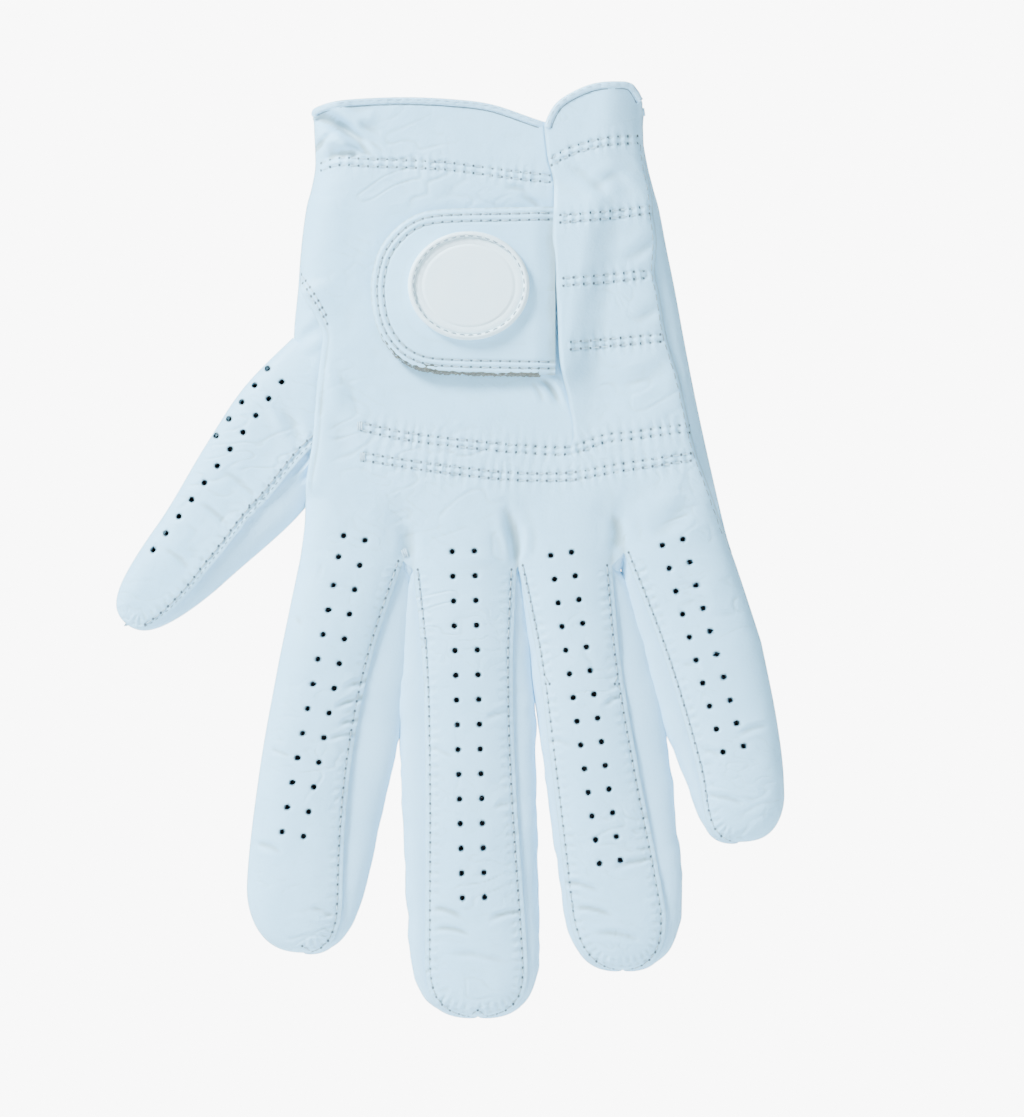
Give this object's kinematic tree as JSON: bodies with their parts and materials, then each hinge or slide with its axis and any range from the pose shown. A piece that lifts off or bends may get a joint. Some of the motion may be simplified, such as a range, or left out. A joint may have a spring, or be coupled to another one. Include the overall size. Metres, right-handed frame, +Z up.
{
  "type": "golf glove",
  "caption": "Thin leather sports glove for the left hand, with perforated fingers, gusseted sides, elastic gathers and a hook-and-loop closure tab at the back of the wrist.",
  "frame": {"origin": "middle of the cuff opening, at the mouth where a hand goes in", "axes": "+Z up out of the cuff with the fingers towards -Z, -Y out of the back of the hand, +Y out of the palm, -X towards the thumb"},
  "size_m": [0.1579, 0.0191, 0.2197],
  "materials": {
    "leather": "soft matt grain",
    "gusset_leather": "soft matt grain",
    "binding": "soft satin",
    "badge": "satin",
    "felt": "fuzzy",
    "elastic": "woven",
    "thread": "twisted thread"
  },
  "bodies": {
    "hand": {"back_panel": "leather", "palm_panel": "leather", "index_side": "leather", "pinky_side": "gusset_leather", "cuff_binding_back": "binding", "cuff_binding_palm": "binding", "wrist_elastic": "elastic", "knuckle_elastics": "elastic", "loop_patch": "felt", "index_middle_crotch": "gusset_leather", "middle_ring_crotch": "gusset_leather", "ring_little_crotch": "gusset_leather", "thumb_quirk": "gusset_leather", "finger_root_folds": "leather", "hand_stitching": "thread"},
    "vent_flap": {"vent_flap": "leather", "flap_binding": "binding", "flap_elastics": "elastic", "flap_stitching": "thread", "tab_root": "leather"},
    "closure_tab": {"tab_leather": "leather", "tab_stitching": "thread", "hook_patch": "felt", "badge_rim": "leather", "badge_disc": "badge"},
    "index_root": {"index_root_back": "leather", "index_root_palm": "leather", "index_root_fourchette": "gusset_leather", "index_fold": "leather"},
    "index_tip": {"index_tip_back": "leather", "index_tip_palm": "leather", "index_tip_fourchette": "gusset_leather"},
    "middle_root": {"middle_root_back": "leather", "middle_root_palm": "leather", "middle_root_fourchettes": "gusset_leather", "middle_fold": "leather"},
    "middle_tip": {"middle_tip_back": "leather", "middle_tip_palm": "leather", "middle_tip_fourchettes": "gusset_leather"},
    "ring_root": {"ring_root_back": "leather", "ring_root_palm": "leather", "ring_root_fourchettes": "gusset_leather", "ring_fold": "leather"},
    "ring_tip": {"ring_tip_back": "leather", "ring_tip_palm": "leather", "ring_tip_fourchettes": "gusset_leather"},
    "little_root": {"little_root_back": "leather", "little_root_palm": "leather", "little_root_fourchette": "gusset_leather", "little_fold": "leather"},
    "little_tip": {"little_tip_back": "leather", "little_tip_palm": "leather", "little_tip_fourchette": "gusset_leather"},
    "thumb_root": {"thumb_root_back": "leather", "thumb_root_palm": "leather", "thumb_fold": "leather"},
    "thumb_tip": {"thumb_tip_back": "leather", "thumb_tip_palm": "leather"}
  },
  "joints": [
    {"name": "index_root_bend", "type": "hinge", "parent": "hand", "child": "index_root", "pos_m": [-0.03216, 0, -0.1159], "axis": [1, 0, 0], "range_deg": [0, 70], "deforming": ["finger_root_folds"]},
    {"name": "index_middle_bend", "type": "hinge", "parent": "index_root", "child": "index_tip", "pos_m": [-0.03983, 0, -0.15113], "axis": [0.9879, 0, -0.1549], "range_deg": [0, 85], "deforming": ["index_fold"]},
    {"name": "middle_root_bend", "type": "hinge", "parent": "hand", "child": "middle_root", "pos_m": [-0.00333, 0, -0.11607], "axis": [1, 0, 0], "range_deg": [0, 70], "deforming": ["finger_root_folds"]},
    {"name": "middle_middle_bend", "type": "hinge", "parent": "middle_root", "child": "middle_tip", "pos_m": [-0.00227, 0, -0.15563], "axis": [0.9996, 0, 0.0278], "range_deg": [0, 85], "deforming": ["middle_fold"]},
    {"name": "ring_root_bend", "type": "hinge", "parent": "hand", "child": "ring_root", "pos_m": [0.02129, 0, -0.11643], "axis": [1, 0, 0], "range_deg": [0, 70], "deforming": ["finger_root_folds"]},
    {"name": "ring_middle_bend", "type": "hinge", "parent": "ring_root", "child": "ring_tip", "pos_m": [0.0265, 0, -0.15171], "axis": [0.9889, 0, 0.1486], "range_deg": [0, 85], "deforming": ["ring_fold"]},
    {"name": "little_root_bend", "type": "hinge", "parent": "hand", "child": "little_root", "pos_m": [0.04885, 0, -0.11445], "axis": [1, 0, 0], "range_deg": [0, 70], "deforming": ["finger_root_folds"]},
    {"name": "little_middle_bend", "type": "hinge", "parent": "little_root", "child": "little_tip", "pos_m": [0.05754, 0, -0.14321], "axis": [0.9682, 0, 0.2502], "range_deg": [0, 85], "deforming": ["little_fold"]},
    {"name": "thumb_root_bend", "type": "hinge", "parent": "hand", "child": "thumb_root", "pos_m": [-0.04238, 0.001, -0.07219], "axis": [-0.1, 0, -0.995], "range_deg": [0, 25], "deforming": ["thumb_quirk"]},
    {"name": "thumb_middle_bend", "type": "hinge", "parent": "thumb_root", "child": "thumb_tip", "pos_m": [-0.06352, 0.001, -0.09864], "axis": [0.7711, 0, -0.6368], "range_deg": [0, 45], "deforming": ["thumb_fold"]},
    {"name": "vent_flap_lift", "type": "hinge", "parent": "hand", "child": "vent_flap", "pos_m": [0.0228, -0.0078, -0.081], "axis": [0.158, 0, 0.9874], "range_deg": [0, 35]},
    {"name": "closure_tab_open", "type": "hinge", "parent": "vent_flap", "child": "closure_tab", "pos_m": [0.0145, -0.0098, -0.043], "axis": [0, 0, 1], "range_deg": [0, 135]}
  ]
}
